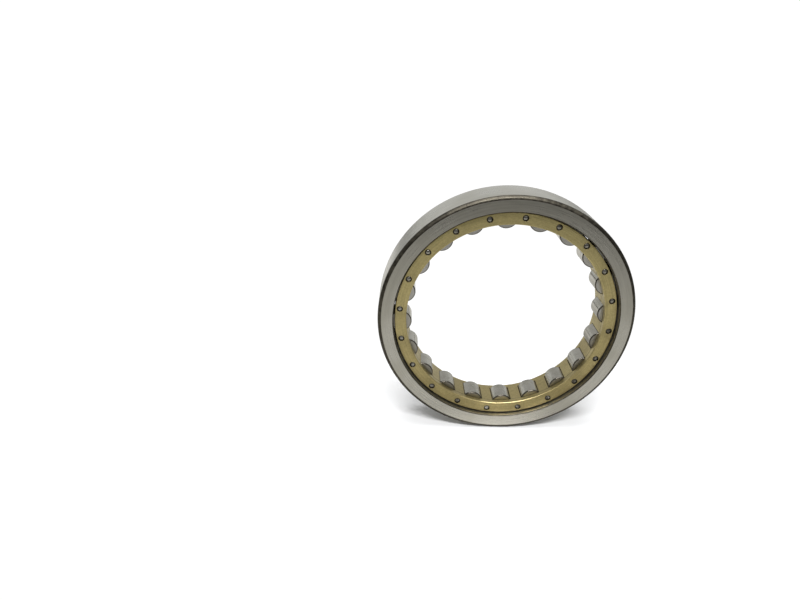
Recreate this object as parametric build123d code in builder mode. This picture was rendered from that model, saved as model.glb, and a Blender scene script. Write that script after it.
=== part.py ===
"""Single-row cylindrical roller bearing, delivered without its inner ring.

An outer ring with two fixed ribs holds a riveted brass cage and its rollers. The ring
stands on its rim: the bearing axis is +Y, the origin is the bearing's centre, +Z is up,
and the near face, with the cage cover and its rivet heads, looks towards -Y.
"""

import os

from build123d import *

# ---- bearing as a whole (mm) ----
INSCRIBED_DIAMETER = 91.5    # the circle inside the rollers, where the inner ring runs
RING_WIDTH = 22.0
FIRST_ROLLER_ANGLE = 92.7    # degrees from +X towards +Z, as the cage happens to stand

# ---- rollers ----
ROLLER_COUNT = 20
ROLLER_DIAMETER = 11.0
ROLLER_LENGTH = 11.0
ROLLER_CORNER_RADIUS = 0.5
RACEWAY_CLEARANCE = 0.02     # radial, between a roller and the raceway
RIB_CLEARANCE = 0.05         # between a roller end and each rib

# ---- outer ring ----
RACEWAY_WALL = 5.73          # behind the raceway; it brings the outside diameter to 125
RING_CORNER_RADIUS = 1.8
RIB_HEIGHT = 1.97            # how far each rib stands in from the raceway
RIB_FACE_CHAMFER = 0.4       # on the bore edge at each side face
RIB_RACE_CHAMFER = 0.15      # on the rib edge beside the rollers
RELIEF_RADIUS = 0.45         # groove in each corner of the raceway, clear of the roller corners

# ---- cage ----
SIDE_RING_WIDTH = 2.9        # axial thickness of the ring at each end of the bars
CAGE_WALL = 5.75             # radial thickness of the side rings and bars
CAGE_RIB_GAP = 0.6           # radial, between the cage and the rib bores
CAGE_EDGE_CHAMFER = 0.35
POCKET_CLEARANCE = 0.2       # radial, between a roller and its bored pocket
POCKET_END_CLEARANCE = 0.1   # between a roller end and each side ring

# ---- cage rivets ----
RIVET_OFFSET = 0.63          # their circle lies this far outside the roller centres
RIVET_SHANK_DIAMETER = 1.8
RIVET_HOLE_CLEARANCE = 0.02  # radial
RIVET_HEAD_DIAMETER = 2.4
RIVET_HEAD_RIM = 0.35        # height of the head's straight rim
RIVET_HEAD_CROWN = 0.3       # height of the dome above that rim
RIVET_SEAT_CLEARANCE = 0.25  # radial, between a head and the wall of its seat
RIVET_SEAT_SINK = 0.1        # how far the dome stays below the cage face

# ---- what follows from them ----
roller_radius = ROLLER_DIAMETER / 2
pitch_radius = INSCRIBED_DIAMETER / 2 + roller_radius
raceway_radius = pitch_radius + roller_radius + RACEWAY_CLEARANCE
raceway_width = ROLLER_LENGTH + 2 * RIB_CLEARANCE
rib_bore_radius = raceway_radius - RIB_HEIGHT
outside_radius = raceway_radius + RACEWAY_WALL

cage_outside_radius = rib_bore_radius - CAGE_RIB_GAP
cage_bore_radius = cage_outside_radius - CAGE_WALL
pocket_radius = roller_radius + POCKET_CLEARANCE
pocket_length = ROLLER_LENGTH + 2 * POCKET_END_CLEARANCE
cage_width = pocket_length + 2 * SIDE_RING_WIDTH

rivet_circle_radius = pitch_radius + RIVET_OFFSET
rivet_hole_radius = RIVET_SHANK_DIAMETER / 2 + RIVET_HOLE_CLEARANCE
rivet_seat_radius = RIVET_HEAD_DIAMETER / 2 + RIVET_SEAT_CLEARANCE
rivet_seat_depth = RIVET_HEAD_RIM + RIVET_HEAD_CROWN + RIVET_SEAT_SINK
rivet_grip = cage_width - 2 * rivet_seat_depth
bar_angle = FIRST_ROLLER_ANGLE + 180 / ROLLER_COUNT

near_seam = Plane.XZ.offset(pocket_length / 2)    # front ends of the bars, normal -Y
near_cage_face = Plane.XZ.offset(cage_width / 2)  # outside face of the cover, normal -Y
far_cage_face = -Plane.XZ.offset(-cage_width / 2)  # outside face of the body, normal +Y

# ---- outer ring: one turned and ground piece, ribs included ----
with BuildPart() as outer_ring:
    with BuildSketch(Plane.XY) as ring_section:
        with Locations((rib_bore_radius, 0)):
            Rectangle(
                outside_radius - rib_bore_radius, RING_WIDTH, align=(Align.MIN, Align.CENTER)
            )
        fillet(ring_section.vertices().group_by(Axis.X)[-1], radius=RING_CORNER_RADIUS)
        chamfer(ring_section.vertices().group_by(Axis.X)[0], length=RIB_FACE_CHAMFER)
        with Locations((rib_bore_radius, 0)):
            Rectangle(RIB_HEIGHT, raceway_width, align=(Align.MIN, Align.CENTER), mode=Mode.SUBTRACT)
        rib_edges = ring_section.vertices().group_by(Axis.X)[0].sort_by(Axis.Y)[1:3]
        chamfer(rib_edges, length=RIB_RACE_CHAMFER)
        with Locations((raceway_radius, raceway_width / 2), (raceway_radius, -raceway_width / 2)):
            Circle(RELIEF_RADIUS, mode=Mode.SUBTRACT)
    revolve(axis=Axis.Y)
outer_ring.part.label = "outer_ring"

# ---- cage body: the far side ring and the bars, with the pockets bored between them ----
with BuildPart() as cage_body:
    with BuildSketch(Plane.XY) as body_section:
        with Locations((cage_bore_radius, cage_width / 2)):
            Rectangle(CAGE_WALL, cage_width - SIDE_RING_WIDTH, align=(Align.MIN, Align.MAX))
        chamfer(body_section.vertices().group_by(Axis.Y)[-1], length=CAGE_EDGE_CHAMFER)
    revolve(axis=Axis.Y)
    with BuildSketch(near_seam):
        with PolarLocations(pitch_radius, ROLLER_COUNT, start_angle=FIRST_ROLLER_ANGLE):
            Circle(pocket_radius)
    extrude(amount=-pocket_length, mode=Mode.SUBTRACT)
    with Locations(far_cage_face):
        with PolarLocations(rivet_circle_radius, ROLLER_COUNT, start_angle=-bar_angle):
            CounterBoreHole(
                radius=rivet_hole_radius,
                counter_bore_radius=rivet_seat_radius,
                counter_bore_depth=rivet_seat_depth,
            )
cage_body.part.label = "cage_body"

# ---- cage cover: the near side ring, riveted on the ends of the bars ----
with BuildPart() as cage_cover:
    with BuildSketch(Plane.XY) as cover_section:
        with Locations((cage_bore_radius, -cage_width / 2)):
            Rectangle(CAGE_WALL, SIDE_RING_WIDTH, align=(Align.MIN, Align.MIN))
        chamfer(cover_section.vertices().group_by(Axis.Y)[0], length=CAGE_EDGE_CHAMFER)
    revolve(axis=Axis.Y)
    with Locations(near_cage_face):
        with PolarLocations(rivet_circle_radius, ROLLER_COUNT, start_angle=bar_angle):
            CounterBoreHole(
                radius=rivet_hole_radius,
                counter_bore_radius=rivet_seat_radius,
                counter_bore_depth=rivet_seat_depth,
            )
cage_cover.part.label = "cage_cover"

# ---- one rivet along Z: shank, and a domed head at each end ----
with BuildPart() as rivet:
    with BuildSketch(Plane.XZ):
        with BuildLine():
            shank_end = rivet_grip / 2
            rim_end = shank_end + RIVET_HEAD_RIM
            crown_end = rim_end + RIVET_HEAD_CROWN
            Polyline(
                (0, 0),
                (RIVET_SHANK_DIAMETER / 2, 0),
                (RIVET_SHANK_DIAMETER / 2, shank_end),
                (RIVET_HEAD_DIAMETER / 2, shank_end),
                (RIVET_HEAD_DIAMETER / 2, rim_end),
            )
            TangentArc((0, crown_end), (RIVET_HEAD_DIAMETER / 2, rim_end), tangent=(1, 0))
            Line((0, crown_end), (0, 0))
        make_face()
    revolve(axis=Axis.Z)
    mirror(about=Plane.XY)

# ---- the rivets: one through each bar ----
with BuildPart(Plane.XZ) as cage_rivets:
    with PolarLocations(rivet_circle_radius, ROLLER_COUNT, start_angle=bar_angle):
        add(rivet.part)
cage_rivets.part.label = "cage_rivets"

# ---- rollers: ground cylinders with rounded ends, one node each ----
roller_places = PolarLocations(pitch_radius, ROLLER_COUNT, start_angle=FIRST_ROLLER_ANGLE)
rollers = []
for number, place in enumerate(roller_places.local_locations, start=1):
    with BuildPart() as roller:
        with BuildSketch(Plane.XZ.offset(-ROLLER_LENGTH / 2)):
            with Locations((place.position.X, place.position.Y)):
                Circle(roller_radius)
        extrude(amount=ROLLER_LENGTH)
        fillet(roller.edges().filter_by(GeomType.CIRCLE), radius=ROLLER_CORNER_RADIUS)
    roller.part.label = f"roller_{number:02d}"
    rollers.append(roller.part)

# ---- write one file for each piece ----
os.makedirs("parts", exist_ok=True)
for piece in [outer_ring.part, cage_body.part, cage_cover.part, cage_rivets.part, *rollers]:
    export_step(piece, f"parts/{piece.label}.step")
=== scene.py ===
"""Looks of a cylindrical roller bearing without its inner ring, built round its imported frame.

The bearing axis is +Y, the origin is the bearing's centre, and the ring stands on its rim.
"""

import math

import bmesh
import bpy
from mathutils import Euler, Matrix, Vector


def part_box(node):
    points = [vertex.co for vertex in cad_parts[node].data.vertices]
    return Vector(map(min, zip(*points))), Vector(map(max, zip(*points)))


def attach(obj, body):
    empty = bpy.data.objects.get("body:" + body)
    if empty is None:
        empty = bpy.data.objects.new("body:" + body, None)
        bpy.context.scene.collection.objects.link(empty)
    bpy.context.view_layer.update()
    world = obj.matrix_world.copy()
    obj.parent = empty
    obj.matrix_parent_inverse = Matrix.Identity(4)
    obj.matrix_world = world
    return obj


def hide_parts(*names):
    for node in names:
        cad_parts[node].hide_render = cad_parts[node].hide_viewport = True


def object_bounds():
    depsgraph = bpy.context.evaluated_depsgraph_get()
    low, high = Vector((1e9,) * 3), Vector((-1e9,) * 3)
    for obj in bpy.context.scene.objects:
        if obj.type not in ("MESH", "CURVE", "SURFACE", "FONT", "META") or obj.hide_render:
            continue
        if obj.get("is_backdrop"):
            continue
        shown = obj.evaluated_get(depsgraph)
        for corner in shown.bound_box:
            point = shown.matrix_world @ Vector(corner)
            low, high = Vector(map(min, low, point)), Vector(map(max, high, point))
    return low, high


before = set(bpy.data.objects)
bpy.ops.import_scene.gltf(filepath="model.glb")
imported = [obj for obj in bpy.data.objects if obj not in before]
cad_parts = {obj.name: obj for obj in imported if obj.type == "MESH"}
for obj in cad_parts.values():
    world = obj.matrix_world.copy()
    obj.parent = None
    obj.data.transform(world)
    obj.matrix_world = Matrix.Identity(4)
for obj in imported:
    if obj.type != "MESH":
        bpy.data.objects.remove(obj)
cad_low, cad_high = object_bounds()
middle = (cad_low + cad_high) / 2
MM = 0.001
scene = bpy.context.scene


# ---------------------------------------------------------------------------------------
# Camera. It stands in front of the cover side, above the bearing and a little to its
# left, and looks down past its left side, so that it sits right of the picture's middle.
# ---------------------------------------------------------------------------------------
CAMERA_PLACE = Vector((-47.3, -259.8, 123.9)) * MM
CAMERA_TILT = 65.71    # degrees up from straight down
CAMERA_TURN = 0.95     # degrees to the left of +Y
LENS = 25.61           # mm, on a sensor 36 mm wide
CLIP_START = 5 * MM
CLIP_END = 30.0

lens = bpy.data.cameras.new("camera")
lens.lens = LENS
lens.clip_start = CLIP_START
lens.clip_end = CLIP_END
camera = bpy.data.objects.new("camera", lens)
camera.location = middle + CAMERA_PLACE
camera.rotation_euler = Euler((math.radians(CAMERA_TILT), 0, math.radians(CAMERA_TURN)))
scene.collection.objects.link(camera)
scene.camera = camera


# ---------------------------------------------------------------------------------------
# Table. A white sheet that runs out to a white horizon. The gloss of the steel shows it in a
# painted colour of its own, a painted pool of light brightest right beside the rim and dimmer
# the further it lies from the bearing.
# ---------------------------------------------------------------------------------------
def put(tree, kind, wires=None, **settings):
    """Adds a node; wires gives an input, by name or number, a value or another socket."""
    made = tree.nodes.new(kind)
    for name, value in settings.items():
        setattr(made, name, value)
    for key, value in (wires or {}).items():
        if isinstance(value, bpy.types.NodeSocket):
            tree.links.new(value, made.inputs[key])
        else:
            made.inputs[key].default_value = value
    return made


def maths(tree, operation, *values):
    """One Math node on one or two values or sockets."""
    return put(tree, "ShaderNodeMath", dict(enumerate(values)), operation=operation).outputs[0]


def ramp(tree, value, low, high, start=0.0, end=1.0):
    """Start below low, end above high, and a smooth change between."""
    wires = {"Value": value, "From Min": low, "From Max": high, "To Min": start, "To Max": end}
    return put(tree, "ShaderNodeMapRange", wires, interpolation_type="SMOOTHSTEP").outputs[0]


def mixed(tree, share, first, second, how="MIX"):
    """Two colours mixed by a share; a colour is a socket or its red, green and blue."""
    made = put(tree, "ShaderNodeMix", {0: share}, data_type="RGBA", blend_type=how)
    for key, colour in ((6, first), (7, second)):
        if isinstance(colour, bpy.types.NodeSocket):
            tree.links.new(colour, made.inputs[key])
        else:
            made.inputs[key].default_value = (*colour, 1)
    return made.outputs[2]


def parts_of(tree, vector):
    """The X, Y and Z of a vector."""
    return put(tree, "ShaderNodeSeparateXYZ", {0: vector}).outputs


def object_place(tree):
    """Where a point is, with the bearing's centre at the origin."""
    return put(tree, "ShaderNodeTexCoord").outputs["Object"]


def hypotenuse(tree, first, second):
    """How far a point is from an axis, by its places along the other two."""
    squares = maths(tree, "MULTIPLY", first, first), maths(tree, "MULTIPLY", second, second)
    return maths(tree, "SQRT", maths(tree, "ADD", *squares))


def fresh_material(name):
    """A material with nothing in its tree but the output."""
    material = bpy.data.materials.new(name)
    material.use_nodes = True
    material.node_tree.nodes.clear()
    return material, material.node_tree, put(material.node_tree, "ShaderNodeOutputMaterial")


TABLE_REACH = 8.0
TABLE_DROP = 0.02 * MM                 # the sheet lies this far under the rim
TABLE_WHITE = (0.92, 0.925, 0.94)
PAINTED_REFLECTED_WHITE = (0.44, 0.435, 0.41)  # painted reflection of the sheet, in front of the bearing and at its sides
PAINTED_BEHIND_WHITE = (0.95, 0.945, 0.92)     # painted reflection of the sheet, behind it
PAINTED_GLOW_WHITE = (0.74, 0.73, 0.70)        # painted pool of light in the reflection, right beside the rim
HORIZON_LIGHT = 1.05
DIM_DISTANCE = 0.33                    # where the sheet in the gloss has half its light
DIM_POWER = 3.0
BEHIND_SHARE = 0.3                     # distance counts this much behind, so it dims further out
SLOWER_FROM = (0.0, 0.2)               # places along +Y between which that sets in
BEHIND_FROM = (0.1, 0.4)               # and between which the sheet turns to its white behind
PAINTED_GLOW_RANGE = (0.012, 0.045)            # distances over which the painted glow beside the rim ends
HORIZON_RANGE = (0.10, 0.22)           # distances over which the sheet turns to horizon
HORIZON_BEHIND = (0.03, 0.09)          # and places along +Y over which it does so behind

table_paint, tree, output = fresh_material("white_table")
x, y, z = parts_of(tree, object_place(tree))
distance = hypotenuse(tree, x, y)
# Only reflections see this colour: the sheet's reflection is painted, with a pool of light beside the rim
# that fades with distance.
slower = maths(tree, "MULTIPLY", distance, ramp(tree, y, *SLOWER_FROM, 1.0, BEHIND_SHARE))
reached = maths(tree, "POWER", maths(tree, "DIVIDE", slower, DIM_DISTANCE), DIM_POWER)
painted_falloff = maths(tree, "DIVIDE", 1.0, maths(tree, "ADD", reached, 1.0))
open_sheet = mixed(tree, ramp(tree, y, *BEHIND_FROM), PAINTED_REFLECTED_WHITE, PAINTED_BEHIND_WHITE)
beside = mixed(tree, ramp(tree, distance, *PAINTED_GLOW_RANGE), PAINTED_GLOW_WHITE, open_sheet)
rays = put(tree, "ShaderNodeLightPath").outputs
painted_reflection = mixed(tree, painted_falloff, (0, 0, 0), beside)
sheet_colour = mixed(tree, rays["Is Glossy Ray"], TABLE_WHITE, painted_reflection)
lit = put(tree, "ShaderNodeBsdfDiffuse", {0: sheet_colour})
horizon = put(tree, "ShaderNodeEmission", {0: (1, 1, 1, 1), 1: HORIZON_LIGHT})
far = maths(tree, "MAXIMUM", ramp(tree, distance, *HORIZON_RANGE), ramp(tree, y, *HORIZON_BEHIND))
far_share = maths(tree, "MULTIPLY", far, rays["Is Camera Ray"])
sheet = put(tree, "ShaderNodeMixShader", {0: far_share, 1: lit.outputs[0], 2: horizon.outputs[0]})
tree.links.new(sheet.outputs[0], output.inputs[0])

table_top = cad_low.z - TABLE_DROP
corners = [(-1, -1), (1, -1), (1, 1), (-1, 1)]
sheet_points = [(side * TABLE_REACH, way * TABLE_REACH, table_top) for side, way in corners]
mesh = bpy.data.meshes.new("table")
mesh.from_pydata(sheet_points, [], [(0, 1, 2, 3)])
mesh.materials.append(table_paint)
table = bpy.data.objects.new("table", mesh)
scene.collection.objects.link(table)
table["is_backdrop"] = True


# ---------------------------------------------------------------------------------------
# Light. A wide softbox hangs over the table, and a long narrow one hangs in front of the
# bearing, well above it. The pale room around gives the rest.
# ---------------------------------------------------------------------------------------
def softbox(name, spot, width, height, power):
    """A rectangular area light turned towards the bearing."""
    light = bpy.data.lights.new(name, "AREA")
    light.shape = "RECTANGLE"
    light.size = width
    light.size_y = height
    light.energy = power
    lamp = bpy.data.objects.new(name, light)
    lamp.location = middle + Vector(spot)
    lamp.rotation_euler = (-Vector(spot)).to_track_quat("-Z", "Y").to_euler()
    scene.collection.objects.link(lamp)


OVERHEAD_PLACE = (0.0, 0.05, 0.90)
OVERHEAD_WIDTH = 0.8
OVERHEAD_HEIGHT = 0.6
OVERHEAD_POWER = 6.0
FRONT_PLACE = (-0.03, -0.50, 0.70)
FRONT_WIDTH = 0.62
FRONT_HEIGHT = 0.09
FRONT_POWER = 7.0

softbox("overhead_softbox", OVERHEAD_PLACE, OVERHEAD_WIDTH, OVERHEAD_HEIGHT, OVERHEAD_POWER)
softbox("front_softbox", FRONT_PLACE, FRONT_WIDTH, FRONT_HEIGHT, FRONT_POWER)

ROOM_WHITE = (0.74, 0.75, 0.735)    # the far wall, low down
ROOM_HIGH = (0.48, 0.48, 0.47)      # the far wall, high up
ROOM_DIM = (0.16, 0.16, 0.155)      # the near side, and the far wall's upper ends
FRONT_BAND = (0.42, 0.42, 0.41)     # a paler band across the near side
BACKDROP_LIGHT = 1.05
SIDE_DIM = 0.6                      # how far the upper ends of the far wall fall to the dim
DEPTH_RANGE = (0.1, 0.85)           # each range is a share of a direction's length
WALL_RANGE = (0.2, 0.65)
ASIDE_RANGE = (0.25, 0.65)
ASIDE_HEIGHT = (0.22, 0.36)
BAND_FOOT = (0.2, 0.4)
BAND_TOP = (0.65, 0.95)

room = bpy.data.worlds.new("room")
room.use_nodes = True
tree = room.node_tree
tree.nodes.clear()
x, y, z = parts_of(tree, put(tree, "ShaderNodeTexCoord").outputs["Generated"])
wall = mixed(tree, ramp(tree, z, *WALL_RANGE), ROOM_WHITE, ROOM_HIGH)
aside = ramp(tree, maths(tree, "ABSOLUTE", x), *ASIDE_RANGE)
aside_high = maths(tree, "MULTIPLY", aside, ramp(tree, z, *ASIDE_HEIGHT, 0.0, SIDE_DIM))
wall = mixed(tree, aside_high, wall, ROOM_DIM)
band = maths(tree, "MULTIPLY", ramp(tree, z, *BAND_FOOT), ramp(tree, z, *BAND_TOP, 1.0, 0.0))
front = mixed(tree, band, ROOM_DIM, FRONT_BAND)
walls = mixed(tree, ramp(tree, y, *DEPTH_RANGE), front, wall)
backdrop = put(tree, "ShaderNodeBackground", {0: (1, 1, 1, 1), 1: BACKDROP_LIGHT})
room_light = put(tree, "ShaderNodeBackground", {0: walls, 1: 1.0})
either = put(tree, "ShaderNodeMixShader", {
    0: put(tree, "ShaderNodeLightPath").outputs["Is Camera Ray"],
    1: room_light.outputs[0],
    2: backdrop.outputs[0],
})
put(tree, "ShaderNodeOutputWorld", {0: either.outputs[0]})
scene.world = room
scene.view_settings.view_transform = "Standard"


# ---------------------------------------------------------------------------------------
# Outer ring. Hardened bearing steel, turned, then ground on the faces, the outside and
# the raceway. The corner rounds and bore chamfers keep the dark skin of the hardening.
# ---------------------------------------------------------------------------------------
LATHE_WELD = 0.001 * MM   # points closer than this are joined


def arc(heart, radius, start, end, steps):
    """Points of an arc about a point, in degrees, both ends included."""
    turns = [math.radians(start + (end - start) * k / steps) for k in range(steps + 1)]
    return [(heart[0] + radius * math.cos(t), heart[1] + radius * math.sin(t)) for t in turns]


def with_skin(points, skin):
    """Section points marked as ground (0) or as keeping the skin of the hardening (1)."""
    return [(r, y, skin) for r, y in points]


def lathe_tree():
    """Turns a chain of section points (radius, place on the axis, skin) about the Y axis."""
    tree = bpy.data.node_groups.new("lathe", "GeometryNodeTree")
    for name, kind in (
        ("Section", "NodeSocketGeometry"),
        ("Steps Around", "NodeSocketInt"),
        ("Middle", "NodeSocketVector"),
        ("Crease Angle", "NodeSocketFloat"),
        ("Finish", "NodeSocketMaterial"),
    ):
        tree.interface.new_socket(name, in_out="INPUT", socket_type=kind)
    tree.interface.new_socket("Piece", in_out="OUTPUT", socket_type="NodeSocketGeometry")
    given = put(tree, "NodeGroupInput").outputs
    size = put(tree, "GeometryNodeAttributeDomainSize", {0: given["Section"]}).outputs[0]
    rows = maths(tree, "ADD", given["Steps Around"], 1)
    grid = put(tree, "GeometryNodeMeshGrid", {2: size, 3: rows}).outputs[0]
    index = put(tree, "GeometryNodeInputIndex").outputs[0]
    whole_rows = maths(tree, "DIVIDE", maths(tree, "ADD", index, 0.5), rows)
    step = maths(tree, "FLOORED_MODULO", index, rows)
    turn = maths(tree, "MULTIPLY", maths(tree, "DIVIDE", step, given["Steps Around"]), math.tau)
    position = put(tree, "GeometryNodeInputPosition").outputs[0]
    point = put(tree, "GeometryNodeSampleIndex", {0: given["Section"]}, data_type="FLOAT_VECTOR")
    tree.links.new(position, point.inputs["Value"])
    tree.links.new(maths(tree, "FLOOR", whole_rows), point.inputs["Index"])
    radius, along, skin = put(tree, "ShaderNodeSeparateXYZ", {0: point.outputs[0]}).outputs
    marked = put(
        tree, "GeometryNodeStoreNamedAttribute", {0: grid, "Name": "skin", "Value": skin},
        data_type="FLOAT", domain="POINT",
    ).outputs[0]
    turned = put(tree, "ShaderNodeCombineXYZ", {
        0: maths(tree, "MULTIPLY", radius, maths(tree, "COSINE", turn)),
        1: along,
        2: maths(tree, "MULTIPLY", radius, maths(tree, "SINE", turn)),
    }).outputs[0]
    shaped = put(tree, "GeometryNodeSetPosition", {0: marked, 2: turned}).outputs[0]
    closed = put(tree, "GeometryNodeMergeByDistance", {0: shaped, "Distance": LATHE_WELD}).outputs[0]
    placed = put(
        tree, "GeometryNodeStoreNamedAttribute", {0: closed, "Name": "own_place", "Value": position},
        data_type="FLOAT_VECTOR", domain="POINT",
    ).outputs[0]
    smooth = put(tree, "GeometryNodeSetShadeSmooth", {0: placed, 2: True}, domain="FACE").outputs[0]
    bend = put(tree, "GeometryNodeInputMeshEdgeAngle").outputs[0]
    gentle = put(tree, "FunctionNodeCompare", {0: bend, 1: given["Crease Angle"]}, operation="LESS_THAN")
    creased = put(tree, "GeometryNodeSetShadeSmooth", {0: smooth, 2: gentle.outputs[0]}, domain="EDGE")
    moved = put(tree, "GeometryNodeSetPosition", {0: creased.outputs[0], 3: given["Middle"]}).outputs[0]
    whole = put(tree, "GeometryNodeRealizeInstances", {0: moved}).outputs[0]
    finished = put(tree, "GeometryNodeSetMaterial", {0: whole, 2: given["Finish"]}).outputs[0]
    put(tree, "NodeGroupOutput", {0: finished})
    return tree


def made_by(tree, name, mesh, values):
    """Runs a Geometry Nodes tree on a mesh, and hands back an object with the plain result."""
    piece = bpy.data.objects.new(name, mesh)
    scene.collection.objects.link(piece)
    modifier = piece.modifiers.new(tree.name, "NODES")
    modifier.node_group = tree
    for socket in tree.interface.items_tree:
        if socket.name in values:
            modifier[socket.identifier] = values[socket.name]
    graph = bpy.context.evaluated_depsgraph_get()
    plain = bpy.data.meshes.new_from_object(piece.evaluated_get(graph), depsgraph=graph)
    piece.modifiers.clear()
    piece.data = plain
    plain.name = name
    return piece


def section_of(name, points):
    """Section points as a mesh of bare vertices, for the lathe."""
    mesh = bpy.data.meshes.new(name)
    mesh.from_pydata(points, [], [])
    return mesh


AXIS_RADIUS = 0.01 * MM     # no mark is thinner than this round the axis itself
MARKS_SLANT = 1.3           # marks follow each other along the axis this much faster
MARKS_RANGE = (0.28, 0.72)  # the part of a noise that is spread over 0 to 1
PATCHES_RANGE = (0.38, 0.66)
GRAIN_RANGE = (0.3, 0.7)
GRAIN_FINER = 14.0          # times finer than the patches


def marks_group():
    """Fine lines that run round the axis, as turning and grinding leave them."""
    tree = bpy.data.node_groups.new("lathe_marks", "ShaderNodeTree")
    tree.interface.new_socket("Place", in_out="INPUT", socket_type="NodeSocketVector")
    tree.interface.new_socket("Pitch", in_out="INPUT", socket_type="NodeSocketFloat")
    tree.interface.new_socket("Breaks", in_out="INPUT", socket_type="NodeSocketFloat")
    tree.interface.new_socket("Lines", in_out="OUTPUT", socket_type="NodeSocketFloat")
    given = put(tree, "NodeGroupInput").outputs
    x, y, z = parts_of(tree, given["Place"])
    radius = hypotenuse(tree, x, z)
    safe = maths(tree, "MAXIMUM", radius, AXIS_RADIUS)
    travel = maths(tree, "ADD", radius, maths(tree, "MULTIPLY", y, MARKS_SLANT))
    across = maths(tree, "DIVIDE", travel, given["Pitch"])
    round_x = maths(tree, "MULTIPLY", maths(tree, "DIVIDE", x, safe), given["Breaks"])
    round_z = maths(tree, "MULTIPLY", maths(tree, "DIVIDE", z, safe), given["Breaks"])
    spot = put(tree, "ShaderNodeCombineXYZ", {0: across, 1: round_x, 2: round_z}).outputs[0]
    noise = put(tree, "ShaderNodeTexNoise", {"Vector": spot, "Scale": 1.0, "Detail": 3.0, "Roughness": 0.62})
    put(tree, "NodeGroupOutput", {0: ramp(tree, noise.outputs[0], *MARKS_RANGE)})
    return tree


def stains_group():
    """Soft patches, as an oil film, handling or a dull skin leaves them."""
    tree = bpy.data.node_groups.new("stains", "ShaderNodeTree")
    tree.interface.new_socket("Place", in_out="INPUT", socket_type="NodeSocketVector")
    tree.interface.new_socket("Size", in_out="INPUT", socket_type="NodeSocketFloat")
    tree.interface.new_socket("Patches", in_out="OUTPUT", socket_type="NodeSocketFloat")
    tree.interface.new_socket("Grain", in_out="OUTPUT", socket_type="NodeSocketFloat")
    given = put(tree, "NodeGroupInput").outputs
    scale = maths(tree, "DIVIDE", 1.0, given["Size"])
    patches = put(tree, "ShaderNodeTexNoise", {
        "Vector": given["Place"], "Scale": scale, "Detail": 4.0, "Roughness": 0.55, "Distortion": 0.6,
    })
    grain = put(tree, "ShaderNodeTexNoise", {
        "Vector": given["Place"], "Scale": maths(tree, "MULTIPLY", scale, GRAIN_FINER), "Detail": 2.0,
    })
    put(tree, "NodeGroupOutput", {
        0: ramp(tree, patches.outputs[0], *PATCHES_RANGE),
        1: ramp(tree, grain.outputs[0], *GRAIN_RANGE),
    })
    return tree


def grouped(tree, group, wires):
    """A node group placed in a material with its own values."""
    return put(tree, "ShaderNodeGroup", wires, node_tree=group).outputs


def own_place(tree):
    """Where a point is on its own piece, with the piece's axis through the origin."""
    return put(tree, "ShaderNodeAttribute", attribute_name="own_place").outputs["Vector"]


def marked_by(tree, name):
    """A value from 0 to 1 that the piece's points carry."""
    return put(tree, "ShaderNodeAttribute", attribute_name=name).outputs["Fac"]


def shaded(tree, colour, shade):
    """A colour made darker or lighter by a factor."""
    grey = put(tree, "ShaderNodeCombineXYZ", {0: shade, 1: shade, 2: shade}).outputs[0]
    return mixed(tree, 1.0, colour, grey, "MULTIPLY")


def bumped(tree, height, depth):
    """A normal from a height of 0 to 1, which stands for a depth."""
    wires = {"Strength": 1.0, "Distance": depth, "Height": height}
    return put(tree, "ShaderNodeBump", wires).outputs[0]


lathe = lathe_tree()
lathe_marks = marks_group()
stains = stains_group()

ring_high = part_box("outer_ring")[1]
ring_radius = ring_high.z
ring_half = ring_high.y
RING_CORNER = 1.8 * MM
RIB_BORE = 54.8 * MM
RIB_FACE_CHAMFER = 0.4 * MM
RIB_RACE_CHAMFER = 0.15 * MM
RACEWAY = 56.77 * MM
RACE_HALF = 5.55 * MM
RELIEF = 0.45 * MM
GRIND_BREAK = 0.06 * MM   # the ground faces meet the corner round at a small edge
BORE_SKIN = 0.12          # the rib bores are only turned, and stay duller than the faces
ROUND_TRIM = 4            # degrees of each corner round that grinding took off at either end
ROUND_STEPS = 14
GROOVE_STEPS = 12
RING_STEPS = 360
GROUND_CREASE = math.radians(28)


def ring_section():
    """The closed outline of the ring: rib, face, corner, outside, corner, face, rib, raceway."""
    corner = ring_radius - RING_CORNER
    side = ring_half - RING_CORNER
    near_corner = arc((corner, -side), RING_CORNER, ROUND_TRIM - 90, -ROUND_TRIM, ROUND_STEPS)
    far_corner = arc((corner, side), RING_CORNER, ROUND_TRIM, 90 - ROUND_TRIM, ROUND_STEPS)
    near_groove = arc((RACEWAY, -RACE_HALF), RELIEF, 90, -180, GROOVE_STEPS)
    far_groove = arc((RACEWAY, RACE_HALF), RELIEF, 180, -90, GROOVE_STEPS)
    chamfer = RIB_FACE_CHAMFER
    return [
        (RIB_BORE, -ring_half + chamfer + GRIND_BREAK, BORE_SKIN),
        (RIB_BORE, -ring_half + chamfer, 1),
        (RIB_BORE + chamfer, -ring_half, 1),
        (RIB_BORE + chamfer + GRIND_BREAK, -ring_half, 0),
        (corner - GRIND_BREAK, -ring_half, 0),
        *with_skin(near_corner, 1),
        (ring_radius, -side + GRIND_BREAK, 0),
        (ring_radius, side - GRIND_BREAK, 0),
        *with_skin(far_corner, 1),
        (corner - GRIND_BREAK, ring_half, 0),
        (RIB_BORE + chamfer + GRIND_BREAK, ring_half, 0),
        (RIB_BORE + chamfer, ring_half, 1),
        (RIB_BORE, ring_half - chamfer, 1),
        (RIB_BORE, ring_half - chamfer - GRIND_BREAK, BORE_SKIN),
        (RIB_BORE, RACE_HALF + RIB_RACE_CHAMFER, BORE_SKIN),
        (RIB_BORE + RIB_RACE_CHAMFER, RACE_HALF, 0),
        *with_skin(far_groove, 1),
        *with_skin(near_groove, 1),
        (RIB_BORE + RIB_RACE_CHAMFER, -RACE_HALF, 0),
        (RIB_BORE, -RACE_HALF - RIB_RACE_CHAMFER, BORE_SKIN),
        (RIB_BORE, -ring_half + chamfer + GRIND_BREAK, BORE_SKIN),
    ]


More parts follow.
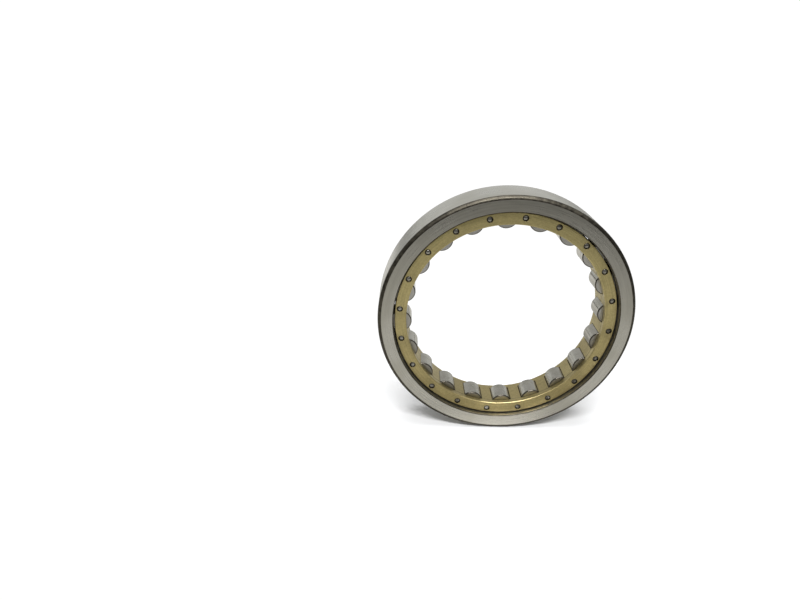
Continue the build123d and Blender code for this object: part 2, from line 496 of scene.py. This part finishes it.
GROUND_STEEL = (0.56, 0.545, 0.50)
SMEARED_STEEL = (0.50, 0.485, 0.43)
HARDENING_SKIN = (0.062, 0.056, 0.045)
SKIN_WORN = (0.125, 0.115, 0.09)
LINE_PITCH = 0.55 * MM           # long turning lines
LINE_BREAKS = 1.1
LINE_SHARE = 0.55
HATCH_PITCH = 0.16 * MM          # short grinding lines
HATCH_BREAKS = 9.0
HATCH_SHARE = 0.45
RING_STAIN = 26 * MM
GROUND_TONE = (0.86, 1.06)       # darkest and lightest along the marks
GROUND_ROUGH = (0.24, 0.34)
STAIN_ROUGH = 0.05
SKIN_ROUGH = (0.36, 0.5)
TURNED_DEPTH = 10.0              # the marks of the rib bores are this many times deeper
TURNED_ROUGH = 0.04              # and this much rougher
TURNED_RANGE = (RIB_BORE + 0.05 * MM, RIB_BORE + 0.3 * MM)
RING_MARKS = 0.004 * MM

ring_steel, tree, output = fresh_material("ring_steel")
spot = own_place(tree)
skin = marked_by(tree, "skin")
lines = grouped(tree, lathe_marks, {"Place": spot, "Pitch": LINE_PITCH, "Breaks": LINE_BREAKS})["Lines"]
hatch = grouped(tree, lathe_marks, {"Place": spot, "Pitch": HATCH_PITCH, "Breaks": HATCH_BREAKS})["Lines"]
patches, grain = grouped(tree, stains, {"Place": spot, "Size": RING_STAIN})
long_marks = maths(tree, "MULTIPLY", lines, LINE_SHARE)
marks = maths(tree, "ADD", long_marks, maths(tree, "MULTIPLY", hatch, HATCH_SHARE))
clean = mixed(tree, patches, GROUND_STEEL, SMEARED_STEEL)
ground = shaded(tree, clean, ramp(tree, marks, 0.0, 1.0, *GROUND_TONE))
dark = mixed(tree, maths(tree, "MULTIPLY", grain, patches), HARDENING_SKIN, SKIN_WORN)
x, y, z = parts_of(tree, spot)
turned = ramp(tree, hypotenuse(tree, x, z), *TURNED_RANGE, TURNED_DEPTH, 1.0)
stained = maths(tree, "MULTIPLY", patches, STAIN_ROUGH)
rough_ground = maths(tree, "ADD", ramp(tree, marks, 0.0, 1.0, *GROUND_ROUGH), stained)
rough_skin = ramp(tree, grain, 0.0, 1.0, *SKIN_ROUGH)
rough = put(tree, "ShaderNodeMix", {0: skin, 2: rough_ground, 3: rough_skin}, data_type="FLOAT").outputs[0]
rough = maths(tree, "ADD", rough, ramp(tree, turned, 1.0, TURNED_DEPTH, 0.0, TURNED_ROUGH))
height = maths(tree, "ADD", maths(tree, "MULTIPLY", marks, turned), maths(tree, "MULTIPLY", grain, skin))
shader = put(tree, "ShaderNodeBsdfPrincipled", {
    "Base Color": mixed(tree, skin, ground, dark),
    "Metallic": 1.0,
    "Roughness": rough,
    "Normal": bumped(tree, height, RING_MARKS),
})
tree.links.new(shader.outputs[0], output.inputs[0])

outer_ring = made_by(lathe, "outer_ring_ground", section_of("ring_section", ring_section()), {
    "Steps Around": RING_STEPS, "Middle": middle, "Crease Angle": GROUND_CREASE, "Finish": ring_steel,
})
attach(outer_ring, "ring")
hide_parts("outer_ring")


# ---------------------------------------------------------------------------------------
# Cage body. One piece of machined brass: the far side ring with twenty bars on it. The
# pockets between the bars are bored from the near side, so their walls follow the rollers.
# ---------------------------------------------------------------------------------------
body_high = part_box("cage_body")[1]
cage_radius = body_high.z
cage_half = body_high.y
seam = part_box("cage_cover")[1].y
CAGE_BORE = 48.45 * MM
CAGE_CHAMFER = 0.27 * MM
POCKET_GAP = 0.2 * MM       # between a roller and the wall of its pocket
RIVET_OFFSET = 0.63 * MM    # the rivets stand this far outside the roller centres
RIVET_HOLE = 0.92 * MM
RIVET_SEAT = 1.45 * MM
SEAT_DEPTH = 0.75 * MM
EDGE_BREAK = 0.08 * MM      # deburred edges
SHARP_EDGE = math.radians(33)
SEAT_SHADE_SPREAD = 0.22 * MM      # painted shade fades out over this far round each seat
SHADE_SPREAD = 0.3 * MM        # and over this far from the pockets and the seam, over the bore
POCKET_PAINTED_SHADE = 0.8
RIM_PAINTED_SHADE = 0.8             # painted shade on the cage's outside, between the cage and the ring's ribs
SEAT_PAINTED_SHADE = 0.8            # painted shade at the rim of each seat
ALIKE = 1e-9                # angles and places closer than this are the same
BAR_STEPS = 5
POCKET_STEPS = 8
SEAT_STEPS = 14
WALL_STEPS = 12
SECTOR_WELD = 0.004 * MM    # points closer than this are joined between sectors

roller_names = sorted(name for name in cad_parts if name.startswith("roller_"))
pocket_step = math.tau / len(roller_names)
first_low, first_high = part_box(roller_names[0])
first_spot = (first_low + first_high) / 2 - middle
pitch_radius = math.hypot(first_spot.x, first_spot.z)
first_bar = math.atan2(first_spot.z, first_spot.x) + pocket_step / 2
roller_radius = (first_high.x - first_low.x) / 2
roller_half = (first_high.y - first_low.y) / 2
pocket_radius = roller_radius + POCKET_GAP
pocket_end = -seam
rivet_circle = pitch_radius + RIVET_OFFSET


def bar_edge(radius):
    """Half the angle that a bar takes at a radius, between two round pockets."""
    cosine = (radius**2 + pitch_radius**2 - pocket_radius**2) / (2 * radius * pitch_radius)
    return pocket_step / 2 - math.acos(cosine)


def spread(start, end, steps):
    """Evenly spaced values, both ends included."""
    return [start + (end - start) * k / steps for k in range(steps + 1)]


def rim_painted_shade(radius, turn, y):
    """Painted shade stands on the cage's outside, and runs from the pockets and the seam over its bore."""
    if radius == cage_radius:
        return RIM_PAINTED_SHADE
    beside_pocket = turn > bar_edge(CAGE_BORE) - ALIKE and seam - ALIKE < y < pocket_end + ALIKE
    if radius == CAGE_BORE and (beside_pocket or abs(y - seam) < ALIKE):
        return POCKET_PAINTED_SHADE
    return 0


def rim_row(radius, y, start=0.0, end=pocket_step / 2):
    """Points round the axis, from a bar's middle to a pocket's, with one at the bar's edge.

    Every point of the cage is x, y, z and how much painted shade darkens it, from 0 to 1.
    """
    rim = cage_radius if radius > pitch_radius else CAGE_BORE
    over_bar = spread(0, bar_edge(rim) - SHADE_SPREAD / rim, BAR_STEPS)
    turns = over_bar + spread(bar_edge(rim), pocket_step / 2, POCKET_STEPS)
    kept = [t for t in turns if start - ALIKE <= t <= end + ALIKE]
    return [(radius * math.cos(t), y, radius * math.sin(t), rim_painted_shade(radius, t, y)) for t in kept]


def rivet_row(radius, y, painted_shade=0):
    """Half a circle round the rivet, from its outermost point to its innermost."""
    turns = spread(0, math.pi, SEAT_STEPS)
    return [(rivet_circle + radius * math.cos(t), y, radius * math.sin(t), painted_shade) for t in turns]


def wall_row(y):
    """Points along a bar's hollow side, from the bore to the outside."""
    # The pocket walls all carry painted shade.
    row = []
    for radius in spread(CAGE_BORE, cage_radius, WALL_STEPS):
        turn = bar_edge(radius)
        row.append((radius * math.cos(turn), y, radius * math.sin(turn), POCKET_PAINTED_SHADE))
    return row


def corner_at(sector, point, side):
    """A vertex of the sector, mirrored to one half of it, with its painted shade."""
    x, y, z, painted_shade = point
    corner = sector.verts.new((x, y, side * z))
    corner[sector.verts.layers.float["painted_shade"]] = painted_shade
    return corner


def strip(sector, first, second):
    """Four-sided faces between two rows of as many points, on both halves of the sector."""
    for side in (1, -1):
        for k in range(len(first) - 1):
            corners = (first[k], first[k + 1], second[k + 1], second[k])
            sector.faces.new([corner_at(sector, point, side) for point in corners])


def plate(sector, outline):
    """One flat face on each half of the sector."""
    for side in (1, -1):
        sector.faces.new([corner_at(sector, point, side) for point in outline])


def fresh_sector():
    """An empty sector whose points can hold painted shade."""
    sector = bmesh.new()
    sector.verts.layers.float.new("painted_shade")
    return sector


def riveted_face(sector, way, inner):
    """A side ring's outside face with its chamfers, its rivet seat and hole, and its rims."""
    face = way * cage_half
    chamfered = face - way * CAGE_CHAMFER
    seat = face - way * SEAT_DEPTH
    outer_rim = rim_row(cage_radius - CAGE_CHAMFER, face)
    inner_rim = rim_row(CAGE_BORE + CAGE_CHAMFER, face)
    plate(sector, inner_rim + outer_rim[::-1] + rivet_row(RIVET_SEAT + SEAT_SHADE_SPREAD, face))
    # Painted shade fades in over a band round the seat, and fills the seat and the hole.
    strip(sector, rivet_row(RIVET_SEAT + SEAT_SHADE_SPREAD, face), rivet_row(RIVET_SEAT, face, SEAT_PAINTED_SHADE))
    strip(sector, outer_rim, rim_row(cage_radius, chamfered))
    strip(sector, inner_rim, rim_row(CAGE_BORE, chamfered))
    strip(sector, rim_row(cage_radius, chamfered), rim_row(cage_radius, inner))
    strip(sector, rim_row(CAGE_BORE, chamfered), rim_row(CAGE_BORE, inner + way * SHADE_SPREAD))
    strip(sector, rim_row(CAGE_BORE, inner + way * SHADE_SPREAD), rim_row(CAGE_BORE, inner))
    strip(sector, rivet_row(RIVET_SEAT, face, SEAT_PAINTED_SHADE), rivet_row(RIVET_SEAT, seat, 1))
    strip(sector, rivet_row(RIVET_SEAT, seat, 1), rivet_row(RIVET_HOLE, seat, 1))
    strip(sector, rivet_row(RIVET_HOLE, seat, 1), rivet_row(RIVET_HOLE, seam))


def body_sector():
    """One bar, with its share of the far side ring."""
    sector = fresh_sector()
    riveted_face(sector, 1, pocket_end)
    outer_edge = bar_edge(cage_radius)
    inner_edge = bar_edge(CAGE_BORE)
    for near, far in ((seam, seam + SHADE_SPREAD), (seam + SHADE_SPREAD, pocket_end)):
        for radius, edge in ((cage_radius, outer_edge), (CAGE_BORE, inner_edge)):
            strip(sector, rim_row(radius, near, 0, edge), rim_row(radius, far, 0, edge))
        strip(sector, wall_row(near), wall_row(far))
    bar_end = rim_row(CAGE_BORE, seam, 0, inner_edge) + wall_row(seam)[1:]
    bar_end += rim_row(cage_radius, seam, 0, outer_edge)[-2::-1]
    plate(sector, bar_end + rivet_row(RIVET_HOLE, seam))
    pocket_floor = rim_row(CAGE_BORE, pocket_end, inner_edge)
    pocket_floor += rim_row(cage_radius, pocket_end, outer_edge)[::-1]
    plate(sector, pocket_floor + wall_row(pocket_end)[-2:0:-1])
    return sector


def round_tree():
    """Repeats a shape round the Y axis and joins what touches."""
    tree = bpy.data.node_groups.new("round_the_axis", "GeometryNodeTree")
    for name, kind in (
        ("Shape", "NodeSocketGeometry"),
        ("Count", "NodeSocketInt"),
        ("First Angle", "NodeSocketFloat"),
        ("Middle", "NodeSocketVector"),
        ("Finish", "NodeSocketMaterial"),
    ):
        tree.interface.new_socket(name, in_out="INPUT", socket_type=kind)
    tree.interface.new_socket("Piece", in_out="OUTPUT", socket_type="NodeSocketGeometry")
    given = put(tree, "NodeGroupInput").outputs
    places = put(tree, "GeometryNodePoints", {0: given["Count"]}).outputs[0]
    share = maths(tree, "DIVIDE", put(tree, "GeometryNodeInputIndex").outputs[0], given["Count"])
    turn = maths(tree, "ADD", maths(tree, "MULTIPLY", share, math.tau), given["First Angle"])
    turning = put(tree, "ShaderNodeCombineXYZ", {1: maths(tree, "MULTIPLY", turn, -1.0)}).outputs[0]
    copying = {0: places, "Instance": given["Shape"], "Rotation": turning}
    copies = put(tree, "GeometryNodeInstanceOnPoints", copying).outputs[0]
    moving = {0: copies, "Translation": given["Middle"]}
    moved = put(tree, "GeometryNodeTranslateInstances", moving).outputs[0]
    whole = put(tree, "GeometryNodeRealizeInstances", {0: moved}).outputs[0]
    joined = put(tree, "GeometryNodeMergeByDistance", {0: whole, "Distance": SECTOR_WELD}).outputs[0]
    finished = put(tree, "GeometryNodeSetMaterial", {0: joined, 2: given["Finish"]}).outputs[0]
    put(tree, "NodeGroupOutput", {0: finished})
    return tree


def cage_part(name, sector, finish):
    """A cage part from its sector: repeated, joined, faces outwards, edges broken."""
    mesh = bpy.data.meshes.new(name + "_sector")
    sector.to_mesh(mesh)
    sector.free()
    part = made_by(round_the_axis, name, mesh, {
        "Count": len(roller_names), "First Angle": first_bar, "Middle": middle, "Finish": finish,
    })
    whole = bmesh.new()
    whole.from_mesh(part.data)
    bmesh.ops.recalc_face_normals(whole, faces=whole.faces)
    for face in whole.faces:
        face.smooth = True
    whole.to_mesh(part.data)
    whole.free()
    broken = part.modifiers.new("broken_edges", "BEVEL")
    broken.width = EDGE_BREAK
    broken.segments = 2
    broken.limit_method = "ANGLE"
    broken.angle_limit = SHARP_EDGE
    broken.harden_normals = True
    return part


round_the_axis = round_tree()

CLEAN_BRASS = (0.69, 0.59, 0.28)
DULL_BRASS = (0.55, 0.47, 0.225)
BROWN_BRASS = (0.26, 0.20, 0.085)
PAINTED_POCKET_SHADE = (0.045, 0.038, 0.026)
LOW_SHADE_SHARE = 0.48                 # painted shade: share of brown low on the cage, and none at the top
LOW_SHADE_HEIGHTS = (-50 * MM, 50 * MM)
OIL_GRAIN = 0.2
BRASS_PITCH = 0.26 * MM
BRASS_BREAKS = 1.6
BRASS_STAIN = 13 * MM
BRASS_TONE = (0.84, 1.08)
BRASS_ROUGH = (0.44, 0.34)
BRASS_STAIN_ROUGH = 0.10
BRASS_MARKS = 0.008 * MM
OIL_COAT = 0.35
OIL_COAT_ROUGH = 0.22

cage_brass, tree, output = fresh_material("cage_brass")
spot = object_place(tree)
lines = grouped(tree, lathe_marks, {"Place": spot, "Pitch": BRASS_PITCH, "Breaks": BRASS_BREAKS})["Lines"]
patches, grain = grouped(tree, stains, {"Place": spot, "Size": BRASS_STAIN})
dull = mixed(tree, patches, CLEAN_BRASS, DULL_BRASS)
# Painted shade: the brass turns browner and darker towards the bottom; the grain adds a real oil film at
# random.
low_shade = ramp(tree, parts_of(tree, spot)[2], *LOW_SHADE_HEIGHTS, LOW_SHADE_SHARE, 0.0)
oil_and_low_shade = maths(tree, "ADD", maths(tree, "MULTIPLY", grain, OIL_GRAIN), low_shade)
brown = mixed(tree, oil_and_low_shade, dull, BROWN_BRASS)
machined = shaded(tree, brown, ramp(tree, lines, 0.0, 1.0, *BRASS_TONE))
stained = maths(tree, "MULTIPLY", patches, BRASS_STAIN_ROUGH)
# The points' painted shade darkens the pockets, the seats, the cage's outside and the bore beside the
# pockets.
shader = put(tree, "ShaderNodeBsdfPrincipled", {
    "Base Color": mixed(tree, marked_by(tree, "painted_shade"), machined, PAINTED_POCKET_SHADE),
    "Metallic": 1.0,
    "Roughness": maths(tree, "ADD", ramp(tree, lines, 0.0, 1.0, *BRASS_ROUGH), stained),
    "Normal": bumped(tree, lines, BRASS_MARKS),
    "Coat Weight": OIL_COAT,
    "Coat Roughness": OIL_COAT_ROUGH,
})
tree.links.new(shader.outputs[0], output.inputs[0])

cage_body = cage_part("cage_body_machined", body_sector(), cage_brass)
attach(cage_body, "cage")
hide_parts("cage_body")


# ---------------------------------------------------------------------------------------
# Cage cover. A plain machined brass ring that closes the pockets on the near side; it
# lies against the ends of the bars and is held by the rivets.
# ---------------------------------------------------------------------------------------
def cover_sector():
    """The cover's share over one bar and half a pocket on each side of it."""
    sector = fresh_sector()
    riveted_face(sector, -1, seam)
    outline = rim_row(CAGE_BORE, seam) + rim_row(cage_radius, seam)[::-1]
    plate(sector, outline + rivet_row(RIVET_HOLE, seam))
    return sector


cage_cover = cage_part("cage_cover_machined", cover_sector(), cage_brass)
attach(cage_cover, "cage")
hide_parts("cage_cover")


# ---------------------------------------------------------------------------------------
# Cage rivets. Steel, one through each bar, with a domed head at both ends that stands
# in a counterbored seat a little below the cage's face.
# ---------------------------------------------------------------------------------------
RIVET_SHANK = 0.9 * MM
RIVET_HEAD = 1.2 * MM
HEAD_RIM = 0.15 * MM
HEAD_CROWN = 0.5 * MM
DOME_STEPS = 7
RIVET_STEPS = 28
HEAD_CREASE = math.radians(40)


def rivet_section():
    """From the near head's middle, over its dome and rim, along the shank to the far head."""
    grip = cage_half - SEAT_DEPTH
    dome = []
    for t in spread(0, math.pi / 2, DOME_STEPS):
        dome.append((RIVET_HEAD * math.sin(t), grip + HEAD_RIM + HEAD_CROWN * math.cos(t)))
    half = dome + [(RIVET_HEAD, grip), (RIVET_SHANK, grip)]
    return with_skin([(r, -y) for r, y in half] + half[::-1], 0)


HEADED_STEEL = (0.40, 0.39, 0.36)
HEAD_TARNISH = (0.12, 0.11, 0.09)
HEAD_PITCH = 0.12 * MM
HEAD_BREAKS = 1.0
HEAD_STAIN = 2.5 * MM
HEAD_ROUGH = (0.18, 0.32)
HEAD_MARKS = 0.003 * MM

rivet_steel, tree, output = fresh_material("rivet_steel")
spot = own_place(tree)
lines = grouped(tree, lathe_marks, {"Place": spot, "Pitch": HEAD_PITCH, "Breaks": HEAD_BREAKS})["Lines"]
patches, grain = grouped(tree, stains, {"Place": object_place(tree), "Size": HEAD_STAIN})
shader = put(tree, "ShaderNodeBsdfPrincipled", {
    "Base Color": mixed(tree, patches, HEADED_STEEL, HEAD_TARNISH),
    "Metallic": 1.0,
    "Roughness": ramp(tree, grain, 0.0, 1.0, *HEAD_ROUGH),
    "Normal": bumped(tree, maths(tree, "ADD", lines, grain), HEAD_MARKS),
})
tree.links.new(shader.outputs[0], output.inputs[0])

one_rivet = made_by(lathe, "one_rivet", section_of("rivet_section", rivet_section()), {
    "Steps Around": RIVET_STEPS,
    "Middle": (rivet_circle, 0, 0),
    "Crease Angle": HEAD_CREASE,
    "Finish": rivet_steel,
})
cage_rivets = made_by(round_the_axis, "cage_rivets_headed", one_rivet.data, {
    "Count": len(roller_names), "First Angle": first_bar, "Middle": middle, "Finish": rivet_steel,
})
bpy.data.objects.remove(one_rivet)
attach(cage_rivets, "cage")
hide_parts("cage_rivets")


# ---------------------------------------------------------------------------------------
# Rollers. Hardened bearing steel, ground and honed, with rounded corners and a small
# turned hollow in each end. Each one turns on its own, so each is a piece of its own.
# ---------------------------------------------------------------------------------------
ROLLER_CORNER = 0.5 * MM
END_HOLLOW = 2.2 * MM
HOLLOW_DEPTH = 0.12 * MM
CORNER_BREAK = 0.05 * MM
END_SKIN = 0.1       # the ends are ground coarser than the rolling surface
CORNER_TRIM = 6      # degrees of each corner round that grinding took off at either end
CORNER_STEPS = 10
ROLLER_STEPS = 96


def roller_section():
    """From the middle of the near end, round the corners, to the middle of the far end."""
    inner = roller_radius - ROLLER_CORNER
    side = roller_half - ROLLER_CORNER
    hollow_floor = roller_half - HOLLOW_DEPTH
    far_end = with_skin([(END_HOLLOW - HOLLOW_DEPTH, hollow_floor), (0, hollow_floor)], 1)
    near_end = [(r, -y, skin) for r, y, skin in far_end[::-1]]
    return [
        *near_end,
        (END_HOLLOW, -roller_half, END_SKIN),
        (inner - CORNER_BREAK, -roller_half, END_SKIN),
        *with_skin(arc((inner, -side), ROLLER_CORNER, CORNER_TRIM - 90, -CORNER_TRIM, CORNER_STEPS), 1),
        (roller_radius, -side + CORNER_BREAK, 0),
        (roller_radius, side - CORNER_BREAK, 0),
        *with_skin(arc((inner, side), ROLLER_CORNER, CORNER_TRIM, 90 - CORNER_TRIM, CORNER_STEPS), 1),
        (inner - CORNER_BREAK, roller_half, END_SKIN),
        (END_HOLLOW, roller_half, END_SKIN),
        *far_end,
    ]


HONED_STEEL = (0.50, 0.485, 0.44)
OILY_STEEL = (0.42, 0.405, 0.355)
END_STEEL = (0.66, 0.65, 0.63)
END_LOW_SHADE = (0.26, 0.25, 0.22)     # painted shade, on the ends of the lowest rollers
CORNER_SKIN = (0.11, 0.10, 0.085)
END_SHADE_HEIGHTS = (-45 * MM, 35 * MM)
END_RANGE = (roller_half - 0.08 * MM, roller_half - 0.03 * MM)
HONED_PITCH = 0.3 * MM
HONED_BREAKS = 2.5
HONED_STAIN = 7 * MM
HONED_TONE = (0.9, 1.05)
HONED_ROUGH = (0.16, 0.22)
HONED_STAIN_ROUGH = 0.06
END_ROUGH = 0.16
HONED_MARKS = 0.002 * MM

roller_steel, tree, output = fresh_material("roller_steel")
spot = own_place(tree)
lines = grouped(tree, lathe_marks, {"Place": spot, "Pitch": HONED_PITCH, "Breaks": HONED_BREAKS})["Lines"]
place = object_place(tree)
patches = grouped(tree, stains, {"Place": place, "Size": HONED_STAIN})["Patches"]
honed = mixed(tree, patches, HONED_STEEL, OILY_STEEL)
steel = shaded(tree, honed, ramp(tree, lines, 0.0, 1.0, *HONED_TONE))
# Painted shade: the roller ends are darker the lower they sit.
end = mixed(tree, ramp(tree, parts_of(tree, place)[2], *END_SHADE_HEIGHTS), END_LOW_SHADE, END_STEEL)
on_end = ramp(tree, maths(tree, "ABSOLUTE", parts_of(tree, spot)[1]), *END_RANGE)
stained = maths(tree, "MULTIPLY", patches, HONED_STAIN_ROUGH)
rough = maths(tree, "ADD", ramp(tree, lines, 0.0, 1.0, *HONED_ROUGH), stained)
shader = put(tree, "ShaderNodeBsdfPrincipled", {
    "Base Color": mixed(tree, marked_by(tree, "skin"), mixed(tree, on_end, steel, end), CORNER_SKIN),
    "Metallic": 1.0,
    "Roughness": maths(tree, "ADD", rough, maths(tree, "MULTIPLY", on_end, END_ROUGH)),
    "Normal": bumped(tree, lines, HONED_MARKS),
})
tree.links.new(shader.outputs[0], output.inputs[0])

for name in roller_names:
    low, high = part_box(name)
    roller = made_by(lathe, name + "_honed", section_of(name, roller_section()), {
        "Steps Around": ROLLER_STEPS,
        "Middle": (low + high) / 2,
        "Crease Angle": GROUND_CREASE,
        "Finish": roller_steel,
    })
    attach(roller, name)
    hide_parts(name)


# ---------------------------------------------------------------------------------------
# Size. The finished bearing's box; the imported model's box was taken at the start.
# ---------------------------------------------------------------------------------------
low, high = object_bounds()
